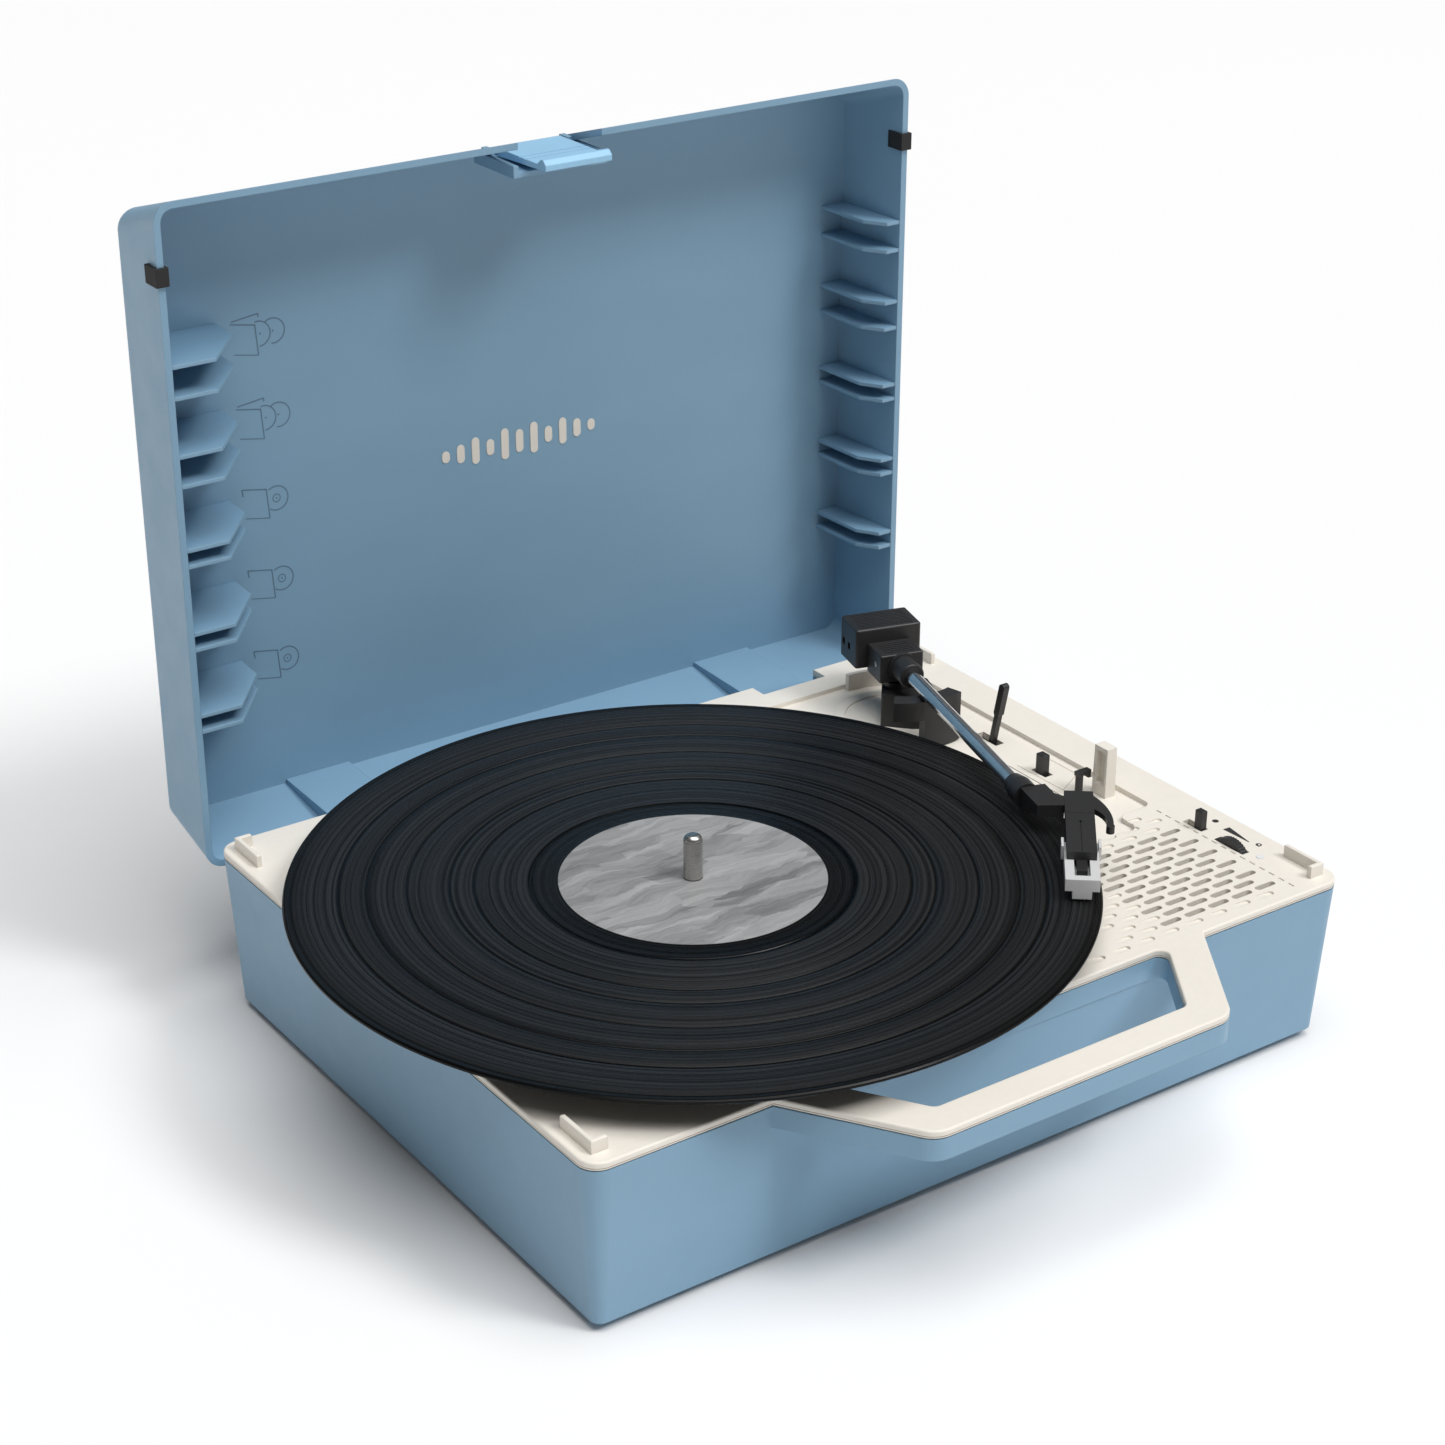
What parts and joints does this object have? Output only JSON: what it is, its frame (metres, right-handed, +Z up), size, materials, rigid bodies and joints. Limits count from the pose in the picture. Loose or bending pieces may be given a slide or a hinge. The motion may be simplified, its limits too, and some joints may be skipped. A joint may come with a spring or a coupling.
{
  "type": "suitcase record player",
  "caption": "Portable suitcase record player with a hinged lid, belt-driven platter and record, tonearm with cue lift, speaker grille and built-in carrying handle.",
  "frame": {"origin": "on the surface it stands on, under the middle of the whole object's box, record overhang and open lid included", "axes": "+X to the tonearm side, seen from the handle; +Y from the handle to the lid; +Z up"},
  "size_m": [0.37, 0.3664, 0.3225],
  "materials": {
    "blue_plastic": "fine satin",
    "cream_plastic": "satin",
    "black_plastic": "satin",
    "light_plastic": "semi-gloss",
    "lamp_plastic": "clear gloss",
    "tube_chrome": "polished",
    "steel": "brushed",
    "bush_brass": "turned",
    "vinyl": "grooved gloss",
    "label_paper": "matt print",
    "felt": "felt",
    "platter_paint": "satin",
    "rubber": "matt",
    "cone_paper": "matt",
    "board": "lacquered"
  },
  "bodies": {
    "case": {"base_shell": "blue_plastic", "deck": "cream_plastic", "foot_1": "rubber", "foot_2": "rubber", "foot_3": "rubber", "foot_4": "rubber", "corner_post_1": "cream_plastic", "corner_post_2": "cream_plastic", "corner_post_3": "cream_plastic", "corner_post_4": "cream_plastic", "arm_rest_post": "cream_plastic", "status_lamp": "lamp_plastic", "hinge_pin_left": "steel", "hinge_pin_right": "steel", "bearing_bush": "bush_brass", "motor_bracket": "steel", "motor_body": "steel", "drive_belt": "rubber", "speaker_frame": "black_plastic", "speaker_cone": "cone_paper", "amplifier_board": "board", "jack_panel": "black_plastic", "rca_socket_left": "steel", "rca_socket_right": "steel", "volume_pot": "black_plastic", "cue_bracket": "black_plastic", "pivot_base": "black_plastic"},
    "turntable": {"spindle": "steel", "platter": "platter_paint", "slip_mat": "felt", "record": "vinyl", "record_label": "label_paper"},
    "pulley": {"motor_pulley": "black_plastic"},
    "lid": {"lid_shell": "blue_plastic", "hinge_knuckle_left": "blue_plastic", "hinge_knuckle_right": "blue_plastic", "sleeve_ribs_left": "blue_plastic", "sleeve_ribs_right": "blue_plastic", "rim_bumper_left": "rubber", "rim_bumper_right": "rubber", "latch_pin": "steel"},
    "lid_latch": {"latch": "blue_plastic"},
    "arm_turret": {"turret": "black_plastic"},
    "arm": {"arm_block": "black_plastic", "counterweight": "black_plastic", "gimbal_pin": "steel", "arm_collar": "black_plastic", "arm_tube": "tube_chrome", "arm_elbow": "black_plastic", "headshell": "black_plastic", "finger_lift": "black_plastic", "cartridge": "light_plastic", "stylus": "steel"},
    "lifter": {"cue_platform": "black_plastic"},
    "cue": {"cue_lever": "black_plastic"},
    "clip": {"arm_clip": "black_plastic"},
    "speed_knob": {"speed_switch": "black_plastic"},
    "mode_knob": {"mode_switch": "black_plastic"},
    "volume_knob": {"volume_wheel": "black_plastic"}
  },
  "joints": [
    {"name": "platter_spin", "type": "hinge", "parent": "case", "child": "turntable", "pos_m": [-0.034, -0.01485, 0.072], "axis": [0, 0, 1], "continuous": true},
    {"name": "pulley_spin", "type": "hinge", "parent": "case", "child": "pulley", "pos_m": [-0.0941, 0.04525, 0.072], "axis": [0, 0, 1], "continuous": true},
    {"name": "lid_hinge", "type": "hinge", "parent": "case", "child": "lid", "pos_m": [0.0134, 0.13015, 0.0573], "axis": [1, 0, 0], "range_deg": [0, 74]},
    {"name": "latch_hinge", "type": "hinge", "parent": "lid", "child": "lid_latch", "pos_m": [0.0134, 0.16675, 0.3135], "axis": [-1, 0, 0], "range_deg": [0, 80]},
    {"name": "tonearm_swing", "type": "hinge", "parent": "case", "child": "arm_turret", "pos_m": [0.1338, 0.07745, 0.0836], "axis": [0, 0, 1], "range_deg": [-25, 27]},
    {"name": "tonearm_lift", "type": "hinge", "parent": "arm_turret", "child": "arm", "pos_m": [0.1338, 0.07745, 0.0945], "axis": [-0.9636, 0.2672, 0], "range_deg": [0, 8]},
    {"name": "lifter_slide", "type": "slide", "parent": "case", "child": "lifter", "axis": [0, 0, 1], "range_m": [0, 0.0039]},
    {"name": "cue_lever_hinge", "type": "hinge", "parent": "case", "child": "cue", "pos_m": [0.153, 0.03735, 0.061], "axis": [-1, 0, 0], "range_deg": [0, 28.5]},
    {"name": "arm_clip_hinge", "type": "hinge", "parent": "case", "child": "clip", "pos_m": [0.1494, -0.02225, 0.07], "axis": [0, 0, 1], "range_deg": [0, 85]},
    {"name": "speed_slide", "type": "slide", "parent": "case", "child": "speed_knob", "axis": [0, 1, 0], "range_m": [-0.0019, 0.0019]},
    {"name": "mode_slide", "type": "slide", "parent": "case", "child": "mode_knob", "axis": [0, 1, 0], "range_m": [0, 0.0058]},
    {"name": "volume_turn", "type": "hinge", "parent": "case", "child": "volume_knob", "pos_m": [0.1668, -0.09205, 0.0634], "axis": [1, 0, 0], "range_deg": [0, 270]}
  ],
  "couplings": [
    {"joint": "pulley_spin", "follows": "platter_spin", "ratio": 15},
    {"joint": "lifter_slide", "follows": "tonearm_lift", "m_per_rad": 0.027215},
    {"joint": "cue_lever_hinge", "follows": "tonearm_lift", "ratio": 3.5}
  ]
}
